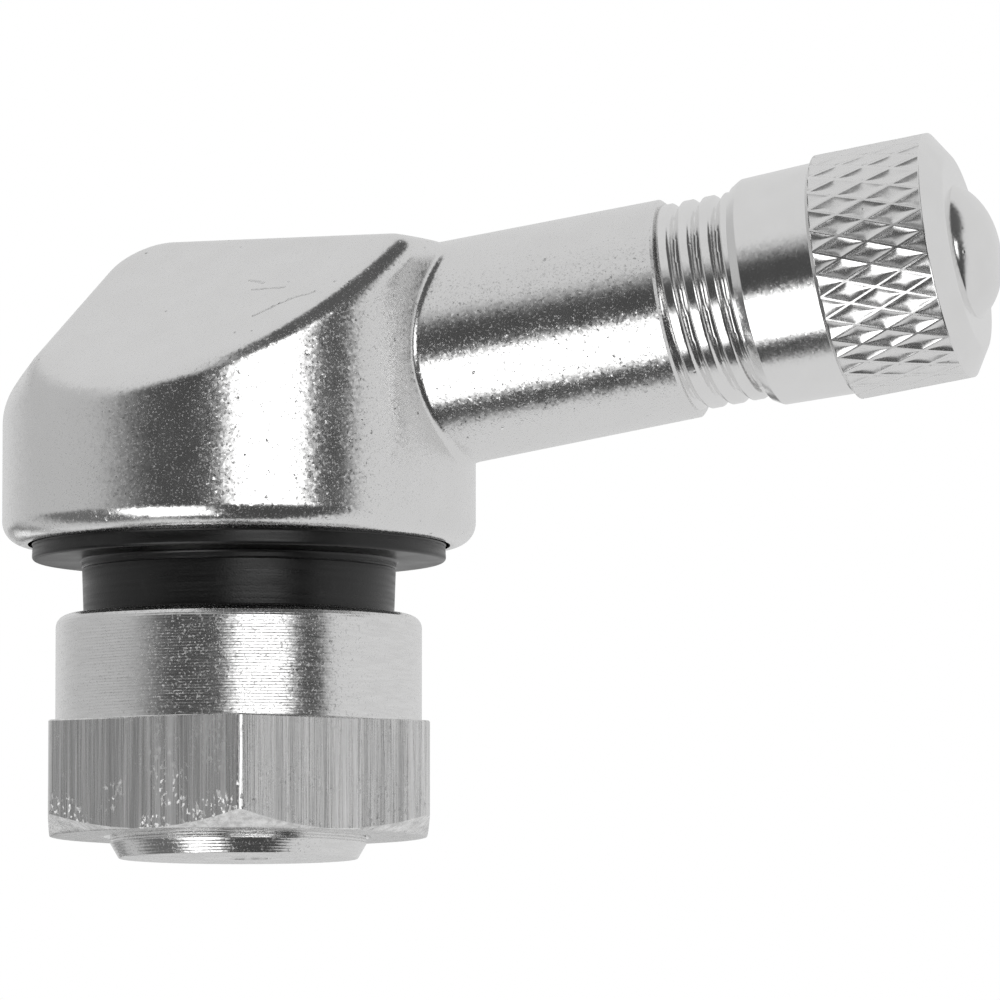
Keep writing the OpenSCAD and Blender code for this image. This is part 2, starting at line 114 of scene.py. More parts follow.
# The photograph's camera, with the object's origin at its place in the frame
VIEW_AZIMUTH, VIEW_ELEVATION, VIEW_DISTANCE = 14.0, -5.0, 335.0
VIEW_RIGHT, VIEW_UP, VIEW_FOCAL, FRAME_PX = 9.70, 2.286, 9011.5, 1000.0
FLOOR_Z = -34.0


# Placing points

STEM_AXIS = np.array([math.cos(math.radians(STEM_ANGLE)), 0.0, math.sin(math.radians(STEM_ANGLE))])
STEM_SIDE = np.array([0.0, 1.0, 0.0])
STEM_UP = np.cross(STEM_AXIS, STEM_SIDE)
STEM_ORIGIN = np.array([0.0, 0.0, STEM_Z])


def upright(points):
    """Points that stand along Z stay where they are."""
    return points


def on_stem(points):
    """Points that stand along Z, placed along the stem."""
    side, up, along = points[..., :1], points[..., 1:2], points[..., 2:]
    return STEM_ORIGIN + side * STEM_SIDE + up * STEM_UP + along * STEM_AXIS


# Profiles and meshes

def fillet(before, corner, after, radius, steps):
    """Points of an arc that rounds a corner of a profile."""
    a, b = before - corner, after - corner
    a, b = a / np.linalg.norm(a), b / np.linalg.norm(b)
    half = math.acos(np.clip(a @ b, -1, 1)) / 2
    # A corner that is nearly straight stays as it is
    if half > 1.55:
        return [corner]
    bisector = (a + b) / np.linalg.norm(a + b)
    centre = corner + bisector * radius / math.sin(half)
    start = corner + a * radius / math.tan(half) - centre
    end = corner + b * radius / math.tan(half) - centre
    span = math.acos(np.clip(start @ end / radius ** 2, -1, 1))
    points = []
    for t in np.linspace(0, 1, steps + 1):
        arm = math.sin((1 - t) * span) * start + math.sin(t * span) * end
        points.append(centre + arm / math.sin(span))
    return points


def profile(corners, closed=True, steps=6, longest=None):
    """Rounded profile from (radius, height, rounding) corners, with long runs divided."""
    xy = [np.array(c[:2], float) for c in corners]
    n = len(xy)
    points = []
    for i, corner in enumerate(corners):
        radius = corner[2] if len(corner) > 2 else 0
        points += fillet(xy[i - 1], xy[i], xy[(i + 1) % n], radius, steps) if radius else [xy[i]]
    if longest is None:
        return np.array(points)
    divided = []
    for i, here in enumerate(points):
        divided.append(here)
        if i == len(points) - 1 and not closed:
            break
        there = points[(i + 1) % len(points)]
        count = int(np.linalg.norm(there - here) / longest)
        divided += [here + (there - here) * k / (count + 1) for k in range(1, count + 1)]
    return np.array(divided)


def even_angles(columns):
    return np.linspace(0, 2 * math.pi, columns, endpoint=False)


def turned(points, angles, place, relief=None):
    """Grid of points of a profile turned about its axis, with relief added to the radius."""
    angle = angles[None, :]
    columns = len(angles)
    radius = np.repeat(points[:, :1], columns, 1)
    height = np.repeat(points[:, 1:2], columns, 1)
    if relief:
        radius = radius + relief(radius, height, angle)
    return place(np.stack([radius * np.cos(angle), radius * np.sin(angle), height], -1))


def grid_faces(rows, columns, wrap_rows=False):
    """Quads of a grid that is closed across its columns."""
    r = np.arange(rows if wrap_rows else rows - 1)[:, None]
    c = np.arange(columns)[None, :]
    below, beside = (r + 1) % rows, (c + 1) % columns
    corners = [r * columns + c, r * columns + beside, below * columns + beside, below * columns + c]
    return np.stack(corners, -1).reshape(-1, 4)


def outward(mesh, weld):
    """Turns all faces outwards, after corners in one place are joined where asked."""
    bm = bmesh.new()
    bm.from_mesh(mesh)
    if weld:
        bmesh.ops.remove_doubles(bm, verts=bm.verts, dist=1e-7)
        bmesh.ops.dissolve_degenerate(bm, edges=bm.edges, dist=1e-8)
    bmesh.ops.recalc_face_normals(bm, faces=bm.faces)
    bm.to_mesh(mesh)
    bm.free()


def piece(name, points, faces, body, materials, replaces=(), sharp=40.0, weld=False):
    """New object that rides on a body, from points in millimetres."""
    mesh = bpy.data.meshes.new(name)
    mesh.from_pydata((np.asarray(points).reshape(-1, 3) * MM).tolist(), [], [tuple(f) for f in faces])
    outward(mesh, weld)
    mesh.polygons.foreach_set("use_smooth", [True] * len(mesh.polygons))
    if sharp:
        mesh.set_sharp_from_angle(angle=math.radians(sharp))
    obj = bpy.data.objects.new(name, mesh)
    bpy.context.scene.collection.objects.link(obj)
    for material in materials:
        mesh.materials.append(material)
    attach(obj, body)
    if replaces:
        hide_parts(*replaces)
    return obj


def helix_form(height, angle, pitch):
    """Form of a thread, lowest in its rounded root and 1 on its flat crest."""
    u = height / pitch - angle / (2 * math.pi)
    flank = ((1 - ROOT_LIFT) * np.sin(math.pi * u) ** 2 + ROOT_LIFT) ** FLANK_POWER
    return np.minimum(CREST_CUT * flank, 1)


def fade(value, low, high, run):
    """1 between two limits, running out to 0 outside them."""
    return np.clip((value - low) / run + 1, 0, 1) * np.clip((high - value) / run + 1, 0, 1)


# Forged elbow: its planes and cylinders joined with true rounded edges

def plane_field(p, point, heading, tilt):
    h, t = math.radians(heading), math.radians(tilt)
    normal = np.array([math.sin(t) * math.cos(h), math.sin(t) * math.sin(h), math.cos(t)])
    return (p - point) @ normal, np.broadcast_to(normal, p.shape)


def round_field(p):
    q = np.hypot(p[:, 0], p[:, 1]) + 1e-9
    return q - BASE_R, np.stack([p[:, 0] / q, p[:, 1] / q, np.zeros(len(p))], -1)


def stem_radius(s):
    return STEM_R + (SHOULDER_S - s) * math.tan(math.radians(STEM_DRAFT))


def stem_field(p):
    offset = p - STEM_ORIGIN
    along = offset @ STEM_AXIS
    across = offset - along[:, None] * STEM_AXIS
    q = np.linalg.norm(across, axis=1) + 1e-9
    side, end = q - stem_radius(along), STEM_START - along
    ended = end > side
    return np.where(ended, end, side), np.where(ended[:, None], -STEM_AXIS, across / q[:, None])


def rounded_join(a, b, radius, inside):
    """Two fields joined with a rounding of that radius: their common part for inside, else both."""
    (da, na), (db, nb) = a, b
    cosine = np.clip(np.sum(na * nb, 1), -0.9, 1)
    width = radius * (1 - cosine) / np.sqrt((1 + cosine) / 2) + 1e-6
    h = np.clip(1 - np.abs(da - db) / width, 0, None)
    first = (da > db) == inside
    share = np.where(first, 1 - h / 2, h / 2)[:, None]
    normal = share * na + (1 - share) * nb
    push = h * h * width / 4
    d = np.maximum(da, db) + push if inside else np.minimum(da, db) - push
    return d, normal / np.linalg.norm(normal, axis=1)[:, None]


def elbow_field(p):
    """Distance of points from the elbow's surface, negative inside it, and the way it faces there."""
    corner = np.array([-BACK_X, 0, TOP_Z])
    ridge = np.array([0, 0, SIDE_Z])
    nose_normal = np.array([-math.sin(math.radians(NOSE_TILT)), 0, math.cos(math.radians(NOSE_TILT))])
    nose = plane_field(p, corner - NOSE_CUT * nose_normal, 180, NOSE_TILT)
    roof = plane_field(p, np.array([0, 0, TOP_Z]), 0, TOP_FALL)
    roof = rounded_join(roof, nose, SOFT_R, True)
    for side in (-1, 1):
        back = plane_field(p, corner, side * (180 - BACK_TURN), BACK_TILT)
        roof = rounded_join(roof, back, SOFT_R, True)
    for side in (-1, 1):
        facet = plane_field(p, ridge, side * (90 + SIDE_TURN), SIDE_TILT)
        roof = rounded_join(roof, facet, EDGE_R, True)
    # The edge above the round wall grows softer towards the back
    soft = np.clip((-p[:, 0] - BACK_EDGE_X) / BACK_EDGE_RUN, 0, 1)
    base = rounded_join(roof, round_field(p), EDGE_R + (BACK_EDGE_R - EDGE_R) * soft, True)
    base = rounded_join(base, plane_field(p, np.array([0, 0, BASE_Z]), 0, 180), FOOT_R, True)
    return rounded_join(base, stem_field(p), ROOT_R, False)


def cast_rays(directions):
    """Points where rays from the crossing of the axes leave the elbow, and the way it faces there."""
    near, far = np.full(len(directions), RAY_NEAR), np.full(len(directions), RAY_FAR)
    for _ in range(RAY_HALVINGS):
        middle = (near + far) / 2
        outside = elbow_field(STEM_ORIGIN + middle[:, None] * directions)[0] > 0
        far = np.where(outside, middle, far)
        near = np.where(outside, near, middle)
    points = STEM_ORIGIN + near[:, None] * directions
    return points, elbow_field(points)[1]


def ray_skin():
    """The elbow's skin, found by rays: points, normals, square faces and the fan that closes its back."""
    stem_s = np.arange(SHOULDER_S - SHOULDER_CHAMFER, ROOT_S, -STEM_STEP)
    polar = np.concatenate([np.arctan2(stem_radius(stem_s), stem_s),
                            np.radians(np.arange(ROOT_ANGLE, BODY_ANGLE, ROOT_STEP)),
                            np.radians(np.linspace(BODY_ANGLE, LAST_ANGLE, BODY_ROWS))])
    angle = even_angles(SKIN_COLUMNS)
    across = np.cos(angle)[:, None] * STEM_SIDE + np.sin(angle)[:, None] * STEM_UP
    directions = np.cos(polar)[:, None, None] * STEM_AXIS + np.sin(polar)[:, None, None] * across
    directions = np.concatenate([directions.reshape(-1, 3), -STEM_AXIS[None]])
    points, normals = cast_rays(directions)
    rows = len(polar)
    last = (rows - 1) * SKIN_COLUMNS + np.arange(SKIN_COLUMNS)
    pole = np.full(SKIN_COLUMNS, rows * SKIN_COLUMNS)
    fan = np.stack([last, np.roll(last, -1), pole], -1)
    return points, normals, grid_faces(rows, SKIN_COLUMNS), fan


def strip(rows, normal, columns, place):
    """Ring turned from the points of a profile, with one normal or one for each point."""
    angles = even_angles(columns)
    points = turned(np.array(rows, float), angles, place)
    flat = np.broadcast_to(np.array(normal, float), (len(rows), 2))
    normals = turned(flat, angles, place) - place(np.zeros((1, 3)))
    return points.reshape(-1, 3), grid_faces(len(rows), columns), normals.reshape(-1, 3)


def elbow_rings():
    """Turned surfaces of the elbow: its foot, the recess in it and the shoulder of its stem."""
    # The foot starts with a small lap behind the wall above it
    lap_r = BASE_R - SEAM_DEPTH
    foot = profile([(lap_r, FOOT_TOP + SEAM_HEIGHT), (lap_r, FOOT_TOP), (BASE_R, FOOT_TOP),
                    (BASE_R, BASE_Z, FOOT_R), (RECESS_R, BASE_Z)], closed=False, steps=14)
    foot_centre = [BASE_R - FOOT_R, BASE_Z + FOOT_R]
    foot_normal = (foot - foot_centre).clip([0, -FOOT_R], [FOOT_R, 0]) / FOOT_R
    recess_wall = [(RECESS_R, BASE_Z), (RECESS_R, RECESS_Z)]
    recess_roof = [(RECESS_R, RECESS_Z), (STUD_R - STUD_LAP, RECESS_Z)]
    chamfer_s, chamfer_r = SHOULDER_S - SHOULDER_CHAMFER, STEM_R - SHOULDER_CHAMFER
    chamfer = [(stem_radius(chamfer_s), chamfer_s), (chamfer_r, SHOULDER_S)]
    shoulder = [(chamfer_r, SHOULDER_S), (THREAD_R - THREAD_DEPTH - THREAD_LAP, SHOULDER_S)]
    slope = math.sqrt(0.5)
    return [strip(foot, foot_normal, SKIN_COLUMNS, upright),
            strip(recess_wall, (-1, 0), RECESS_COLUMNS, upright),
            strip(recess_roof, (0, -1), RECESS_COLUMNS, upright),
            strip(chamfer, (slope, slope), SKIN_COLUMNS, on_stem),
            strip(shoulder, (0, 1), SKIN_COLUMNS, on_stem)]


def elbow_skin(material):
    points, normals, faces, fan = ray_skin()

    # Below FOOT_TOP the wall is round, and a turned ring takes over
    kept = faces[points[faces][:, :, 2].max(1) >= FOOT_TOP]
    low = np.unique(kept)
    low = low[points[low, 2] < FOOT_TOP]
    normals[low] = round_field(points[low])[1]
    points[low] = BASE_R * normals[low] + [0, 0, FOOT_TOP]
    used = np.unique(np.concatenate([kept.ravel(), fan.ravel()]))
    number = np.full(len(points), -1)
    number[used] = np.arange(len(used))
    points, normals = points[used], normals[used]
    faces = [tuple(f) for f in number[kept]] + [tuple(f) for f in number[fan]]

    for ring_points, ring_faces, ring_normals in elbow_rings():
        faces += [tuple(f) for f in ring_faces + len(points)]
        points = np.concatenate([points, ring_points])
        normals = np.concatenate([normals, ring_normals])
    return smooth_skin("elbow_skin", points, faces, normals, material)


def smooth_skin(name, points, faces, normals, material):
    """The elbow's mesh, with each face turned to its normals and shaded by them."""
    turned_faces = []
    for face in faces:
        corners = points[list(face)]
        facing = np.cross(corners[2] - corners[0], corners[-1] - corners[1]) @ normals[list(face)].mean(0)
        turned_faces.append(face if facing >= 0 else face[::-1])
    mesh = bpy.data.meshes.new(name)
    mesh.from_pydata((points * MM).tolist(), [], turned_faces)
    mesh.polygons.foreach_set("use_smooth", [True] * len(mesh.polygons))
    mesh.normals_split_custom_set_from_vertices(normals.tolist())
    mesh.materials.append(material)
    obj = bpy.data.objects.new(name, mesh)
    bpy.context.scene.collection.objects.link(obj)
    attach(obj, "elbow")
    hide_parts("elbow_body")
    return obj


# Turned and threaded pieces

def stem_thread(material):
    columns = 216
    foot = SHOULDER_S - THREAD_SINK
    points = profile([(THREAD_R, foot), (THREAD_R, MOUTH_S, MOUTH_R),
                      (CORE_BORE_R + CORE_CHAMFER, MOUTH_S, CORE_EDGE_R),
                      (CORE_BORE_R, MOUTH_S - CORE_CHAMFER)], closed=False, longest=THREAD_PITCH / 22)
    points = np.concatenate([points, [(CORE_BORE_R, foot)]])

    def relief(radius, height, angle):
        on_thread = fade(radius, THREAD_R - 1e-3, THREAD_R + 1, MOUTH_RUN_OUT)
        return -THREAD_DEPTH * on_thread * (1 - helix_form(height - THREAD_SHIFT, angle, THREAD_PITCH))

    grid = turned(points, even_angles(columns), on_stem, relief)
    faces = grid_faces(len(points), columns, True)
    return piece("stem_thread", grid, faces, "elbow", [material])


def stud_thread(material):
    columns = 144
    run = STUD_CHAMFER * math.tan(math.radians(STUD_CHAMFER_ANGLE))
    hole_top, stud_top = STUD_END + AIR_HOLE_DEPTH, RECESS_Z + STUD_SINK
    points = profile([(0, hole_top), (AIR_HOLE_R, hole_top),
                      (AIR_HOLE_R, STUD_END + AIR_HOLE_CHAMFER, STUD_EDGE_R),
                      (AIR_HOLE_R + AIR_HOLE_CHAMFER, STUD_END, STUD_EDGE_R),
                      (STUD_R - run, STUD_END, STUD_END_R), (STUD_R, STUD_END + STUD_CHAMFER, STUD_EDGE_R),
                      (STUD_R, stud_top), (0, stud_top)], closed=False, longest=STUD_PITCH / 12)

    def relief(radius, height, angle):
        on_thread = fade(radius, STUD_R - 1e-3, STUD_R + 1, 0.01)
        on_thread = on_thread * fade(height, STUD_END + STUD_LEAD, RECESS_Z, STUD_RUN_OUT)
        return -STUD_DEPTH * on_thread * (1 - helix_form(height, angle, STUD_PITCH))

    grid = turned(points, even_angles(columns), upright, relief)
    faces = grid_faces(len(points), columns)
    return piece("stud_thread", grid, faces, "elbow", [material])


def seal_ring(material):
    columns = 192
    # The collar and the flange each have a fine moulding line, a little sunk, with soft edges
    collar_line, collar_sunk, collar_soft = -0.3, 0.05, 0.02
    flange_line, flange_sunk, flange_soft = 0.55, 0.03, 0.03
    collar = [(NUT_BORE_R, SEAL_FOOT), (SEAL_COLLAR_R - SEAL_DRAFT, SEAL_FOOT, SEAL_FOOT_R),
              (SEAL_COLLAR_R - 0.02, collar_line - 0.03, collar_soft),
              (SEAL_COLLAR_R - collar_sunk, collar_line, collar_soft),
              (SEAL_COLLAR_R, collar_line + 0.04, collar_soft), (SEAL_COLLAR_R, 0, SEAL_EDGE_R)]
    flange = [(SEAL_FLANGE_R, 0, FLANGE_EDGE_R), (SEAL_FLANGE_R - flange_sunk, flange_line, flange_soft),
              (SEAL_FLANGE_R, flange_line + 0.05, flange_soft), (SEAL_FLANGE_R, SEAL_TOP, SEAL_EDGE_R),
              (NUT_BORE_R, SEAL_TOP)]
    points = profile(collar + flange, longest=0.25)
    grid = turned(points, even_angles(columns), upright)
    faces = grid_faces(len(points), columns, True)
    return piece("seal_ring", grid, faces, "elbow", [material], ["rim_seal"])


def diamond_steps():
    """Places across one diamond of the knurl, closer at the edges of its ridges."""
    half = [0, RIDGE_HALF - 0.02, RIDGE_HALF, RIDGE_HALF + 0.03, 0.14, 0.22, 0.3, 0.4, 0.5]
    return np.array(half + [1 - step for step in half[-2:0:-1]])


def knurl_depth(p, q):
    """Depth of the knurl between its two sets of raised lines, which lie at whole numbers."""
    edge = np.minimum(np.abs(p - np.round(p)), np.abs(q - np.round(q)))
    share = np.clip((edge - RIDGE_HALF) / (FLOOR_EDGE - RIDGE_HALF), 0, 1)
    return KNURL_DEPTH * share * (2 - share)


def knurl_angle(p, q):
    return (p - q) * math.pi / KNURL_COUNT - math.pi / 2


def knurl_band():
    """Corners and faces of the knurled band, in cells that follow its raised lines."""
    steps = diamond_steps()
    step = np.arange(len(steps))
    after = np.append(steps[1:], 1.0)
    tiny = 1e-6
    points, faces, count = [], [], 0

    def corner(p, q):
        radius = CAP_R - knurl_depth(p, q)
        angle = knurl_angle(p, q)
        height = KNURL_START + (p + q) * (KNURL_END - KNURL_START) / KNURL_ROWS
        return np.stack([radius * np.cos(angle), radius * np.sin(angle), height], -1)

    a, b = [grid.ravel() for grid in np.meshgrid(step, step, indexing="ij")]
    for i in range(KNURL_COUNT):
        for row in range(-1, KNURL_ROWS):
            p0, p1 = i + steps[a], i + after[a]
            q0, q1 = row - i + steps[b], row - i + after[b]
            whole = (p0 + q0 > -tiny) & (p1 + q1 < KNURL_ROWS + tiny)
            # Cells that lie across an end of the band are halved along the end
            first = ~whole & (np.abs(p1 + q0) < tiny) & (np.abs(p0 + q1) < tiny)
            last = ~whole & (np.abs(p1 + q0 - KNURL_ROWS) < tiny) & (np.abs(p0 + q1 - KNURL_ROWS) < tiny)
            cells = ((whole, ((p0, q0), (p1, q0), (p1, q1), (p0, q1))),
                     (first, ((p1, q0), (p1, q1), (p0, q1))),
                     (last, ((p0, q0), (p1, q0), (p0, q1))))
            for keep, ends in cells:
                corners = np.stack([corner(p[keep], q[keep]) for p, q in ends], 1).reshape(-1, 3)
                faces += [tuple(f) for f in count + np.arange(len(corners)).reshape(-1, len(ends))]
                points.append(corners)
                count += len(corners)
    return np.concatenate(points), faces


def knurl_end_wall(height, row):
    """Walls that close the diamonds at one end of the band."""
    steps = diamond_steps()
    p = (np.arange(KNURL_COUNT)[:, None] + steps[None, :]).ravel()
    angle = knurl_angle(p, row - p)
    ring = np.stack([np.cos(angle), np.sin(angle)], -1)
    deep = CAP_R - knurl_depth(p, row - p)
    inner = np.hstack([ring * deep[:, None], np.full((len(p), 1), height)])
    outer = np.hstack([ring * CAP_R, np.full((len(p), 1), height)])
    n = len(p)
    faces = []
    for i in range(n):
        k = (i + 1) % n
        corners = [i] if deep[i] == CAP_R else [i, n + i]
        corners += [k] if deep[k] == CAP_R else [n + k, k]
        if len(corners) > 2:
            faces.append(tuple(corners))
    return np.concatenate([inner, outer]), faces


def cap_shell(material):
    steps = diamond_steps()
    p = (np.arange(KNURL_COUNT)[:, None] + steps[None, :]).ravel()
    angles = knurl_angle(p, -p)
    bore_mouth = CAP_MOUTH + BORE_LEAD
    skirt = profile([(CAP_BORE_R, bore_mouth), (MOUTH_EDGE_R - MOUTH_LAND, CAP_MOUTH),
                     (MOUTH_EDGE_R, CAP_MOUTH, 0.02),
                     (SKIRT_MOUTH_R, CAP_MOUTH + MOUTH_CHAMFER, MOUTH_CHAMFER_R),
                     (SKIRT_R, KNURL_START - KNURL_BEVEL, 0.05), (CAP_R, KNURL_START)],
                    closed=False, steps=5)
    rim = profile([(CAP_R, KNURL_END), (CAP_R, KNURL_END + RIM_LAND, 0.02),
                   (CAP_R - RIM_W, CAP_END - RIM_FALL, RIM_R), (DOME_R, CAP_END)], closed=False, steps=6)
    t = np.sin(np.linspace(math.pi / 2, 0, DOME_ROWS))[1:, None]
    dome = np.hstack([t * DOME_R, CAP_END + DOME_H * (1 - t ** DOME_FLATNESS) ** DOME_FULLNESS])
    inside = profile([(0, CAP_FLOOR), (CAP_BORE_R, CAP_FLOOR), (CAP_BORE_R, bore_mouth)],
                     closed=False, longest=THREAD_PITCH / 12)

    def thread(radius, height, angle):
        cut = fade(radius, CAP_BORE_R - 1e-3, CAP_BORE_R + 1e-3, 1e-4)
        cut = cut * fade(height, CAP_MOUTH + CAP_LEAD, CAP_FLOOR - CAP_REST, CAP_RUN_OUT)
        return -CAP_THREAD_DEPTH * cut * (1 - helix_form(height - THREAD_SHIFT, angle, THREAD_PITCH)) ** 2

    parts = [knurl_band(), knurl_end_wall(KNURL_START, 0), knurl_end_wall(KNURL_END, KNURL_ROWS)]
    outside = np.concatenate([rim, dome])
    for rows, around in ((skirt, angles), (outside, angles), (inside, even_angles(140))):
        grid = turned(rows, around, upright, thread)
        parts.append((grid.reshape(-1, 3), [tuple(f) for f in grid_faces(len(rows), len(around))]))
    points, faces = np.zeros((0, 3)), []
    for part_points, part_faces in parts:
        faces += [tuple(np.array(f) + len(points)) for f in part_faces]
        points = np.concatenate([points, part_points])
    return piece("cap_shell", on_stem(points), faces, "cap", [material], ["valve_cap"],
                 sharp=30.0, weld=True)


def hexagon(offset):
    """Radius of the rounded hexagon at an angle from its nearest corner, and where its rounding ends."""
    offset = np.abs(offset)
    half_flat = math.radians(30)
    centre = (NUT_FLAT_R - NUT_CORNER_R) / math.cos(half_flat)
    limit = math.atan2(NUT_CORNER_R / 2, centre + NUT_CORNER_R * math.cos(half_flat))
    reach = NUT_CORNER_R ** 2 - (centre * np.sin(offset)) ** 2
    arc = centre * np.cos(offset) + np.sqrt(np.clip(reach, 0, None))
    return np.where(offset <= limit, arc, NUT_FLAT_R / np.cos(half_flat - offset)), limit


def hex_nut(turned_material, drawn_material):
    limit = hexagon(np.zeros(1))[1]
    near = np.linspace(-limit, limit, 9)
    flat = np.linspace(limit, math.radians(60) - limit, 26)[1:-1]
    offsets = np.concatenate([near, flat])
    corner = np.where(offsets > math.radians(30), offsets - math.radians(60), offsets)
    reach = np.tile(hexagon(corner)[0], 6)
    angle = np.concatenate([math.radians(NUT_TURN + 60 * k) + offsets for k in range(6)])

    # The chamfer under the hexagon rises towards its corners
    rise = NUT_FOOT + (reach - NUT_FLAT_R) * math.tan(math.radians(HEX_CHAMFER)) + HEX_CHAMFER_RISE
    foot_edge = NUT_FOOT + HEX_FOOT_EDGE
    wall_foot, wall_top = rise + HEX_EDGE_R, HEX_TOP - HEX_EDGE_R
    collar_foot = NUT_COLLAR_R + COLLAR_ROOT

    def ring(radius, height):
        return np.broadcast_to(radius, reach.shape), np.broadcast_to(height, reach.shape)

    drawn = [ring(NUT_BORE_R + COUNTERSINK, NUT_FOOT)]
    drawn += [ring(r, NUT_FOOT) for r in np.linspace(5.2, NUT_FLAT_R - 0.14, 8)]
    drawn += [ring(NUT_FLAT_R - 0.06, NUT_FOOT + 0.006)]
    drawn += [ring(np.minimum(reach - 0.01, NUT_FLAT_R), foot_edge)]
    drawn += [ring(NUT_FLAT_R + (reach - NUT_FLAT_R) * t, foot_edge + (rise - foot_edge) * t)
              for t in (0.25, 0.5, 0.75, 0.93, 1.0)]
    drawn += [ring(reach, wall_foot + (wall_top - wall_foot) * t) for t in np.linspace(0, 1, 10)]
    drawn += [ring(collar_foot + (reach - HEX_EDGE_R - collar_foot) * t, HEX_TOP)
              for t in (1, 0.66, 0.33, 0)]
    collar = profile([(collar_foot, HEX_TOP), (NUT_COLLAR_R, HEX_TOP, COLLAR_ROOT_R),
                      (NUT_COLLAR_R, NUT_TOP, NUT_EDGE_R),
                      (NUT_BORE_R + COUNTERSINK, NUT_TOP, COUNTERSINK_R),
                      (NUT_BORE_R, NUT_TOP - COUNTERSINK)], closed=False, steps=8, longest=0.4)[1:]
    bore = profile([(NUT_BORE_R, NUT_TOP - COUNTERSINK), (NUT_BORE_R, NUT_FOOT + COUNTERSINK)],
                   closed=False, longest=STUD_PITCH / 12)[1:]
    rows = drawn + [ring(r, z) for r, z in np.concatenate([collar, bore])]
    radius = np.array([r for r, _ in rows])
    height = np.array([z for _, z in rows])
    threaded = fade(radius, NUT_BORE_R - 1e-3, NUT_BORE_R + 1e-3, 1e-4)
    threaded = threaded * fade(height, NUT_FOOT + NUT_LEAD, NUT_TOP - NUT_LEAD, NUT_RUN_OUT)
    radius = radius + NUT_THREAD_DEPTH * threaded * helix_form(height, angle[None, :], STUD_PITCH)
    grid = np.stack([radius * np.cos(angle), radius * np.sin(angle), height], -1)
    obj = piece("hex_nut", grid, grid_faces(len(rows), len(angle), True), "nut",
                [turned_material, drawn_material], ["clamp_nut"], sharp=25.0)
    for polygon in obj.data.polygons:
        if polygon.index < (len(drawn) - 1) * len(angle):
            polygon.material_index = 1
    return obj


def spring_coil(material):
    sides, per_turn = 10, 28
    steps = SPRING_TURNS * per_turn
    turn = 2 * math.pi * np.arange(steps + 1) / per_turn
    t = np.arange(steps + 1) / steps
    low, high = SPRING_FOOT + WIRE_R, SPRING_TOP - WIRE_R
    height = low + (high - low) * np.interp(t, [0, 0.1, 0.9, 1], [0, 0.03, 0.97, 1])
    around = 2 * math.pi * np.arange(sides) / sides
    radius = COIL_R + WIRE_R * np.cos(around)[None, :]
    grid = on_stem(np.stack([radius * np.cos(turn)[:, None], radius * np.sin(turn)[:, None],
                             height[:, None] + WIRE_R * np.sin(around)[None, :]], -1))
    faces = [tuple(f) for f in grid_faces(steps + 1, sides)]
    faces += [tuple(range(sides)), tuple(steps * sides + i for i in range(sides))]
    obj = piece("spring_coil", grid, faces, "elbow", [material], ["core_spring"], sharp=0)
    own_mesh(obj)
    return obj


# Materials

class Graph:
    """Short calls for the nodes of one material or world."""

    def __init__(self, tree):
        self.tree = tree
        tree.nodes.clear()

    def add(self, kind, inputs=(), **settings):
        node = self.tree.nodes.new("ShaderNode" + kind)
        for name, value in settings.items():
            setattr(node, name, value)
        for key, value in dict(inputs).items():
            self.set(node.inputs[key], value)
        return node

    def set(self, socket, value):
        if isinstance(value, bpy.types.NodeSocket):
            self.tree.links.new(value, socket)
        else:
            socket.default_value = value

    def millimetres(self, stretch=(1, 1, 1)):
        """Place on the object in millimetres, each axis scaled."""
        place = self.add("TexCoord").outputs["Object"]
        scale = [1000 * s for s in stretch]
        return self.add("VectorMath", {0: place, 1: scale}, operation="MULTIPLY").outputs[0]

    def noise(self, place, scale, detail=2.0, roughness=0.5):
        inputs = {"Vector": place, "Scale": scale, "Detail": detail, "Roughness": roughness}
        return self.add("TexNoise", inputs).outputs["Fac"]

    def cells(self, place, scale):
        node = self.add("TexVoronoi", {"Vector": place, "Scale": scale})
        return node.outputs["Distance"], node.outputs["Color"]

    def remap(self, value, low, high, to_low=0.0, to_high=1.0, smooth=False):
        return self.add("MapRange", {"Value": value, "From Min": low, "From Max": high, "To Min": to_low,
                                     "To Max": to_high},
                        interpolation_type="SMOOTHSTEP" if smooth else "LINEAR").outputs[0]

    def math(self, operation, first, second=0.0):
        return self.add("Math", {0: first, 1: second}, operation=operation).outputs[0]

    def blend(self, share, first, second):
        node = self.add("Mix", {0: share, 6: first, 7: second}, data_type="RGBA")
        return node.outputs[2]

    def vector(self, operation, first, second):
        return self.add("VectorMath", {0: first, 1: second}, operation=operation).outputs[0]

    def dot(self, first, second):
        return self.add("VectorMath", {0: first, 1: second}, operation="DOT_PRODUCT").outputs["Value"]

    def scaled(self, vector, share):
        return self.add("VectorMath", {0: vector, "Scale": share}, operation="SCALE").outputs[0]

    def glitter(self, place, scale, lean, share):
        """Surface normal that leans another way in each small grain."""
        inputs = {"Vector": place, "Scale": 1.7 * scale, "Detail": 1.0}
        wander = self.add("TexNoise", inputs).outputs["Color"]
        place = self.vector("ADD", place, self.vector("MULTIPLY", wander, [0.7 / scale] * 3))
        cell = self.add("TexVoronoi", {"Vector": place, "Scale": scale}).outputs["Color"]
        tilt = self.vector("MULTIPLY", self.vector("SUBTRACT", cell, [0.5] * 3), [lean] * 3)
        facing = self.add("NewGeometry").outputs["Normal"]
        return self.vector("NORMALIZE", self.vector("ADD", facing, self.scaled(tilt, share)), [0.0] * 3)

    def bump(self, height, depth_mm, normal=None):
        inputs = {"Height": height, "Strength": 1.0, "Distance": depth_mm * MM}
        if normal is not None:
            inputs["Normal"] = normal
        return self.add("Bump", inputs).outputs[0]


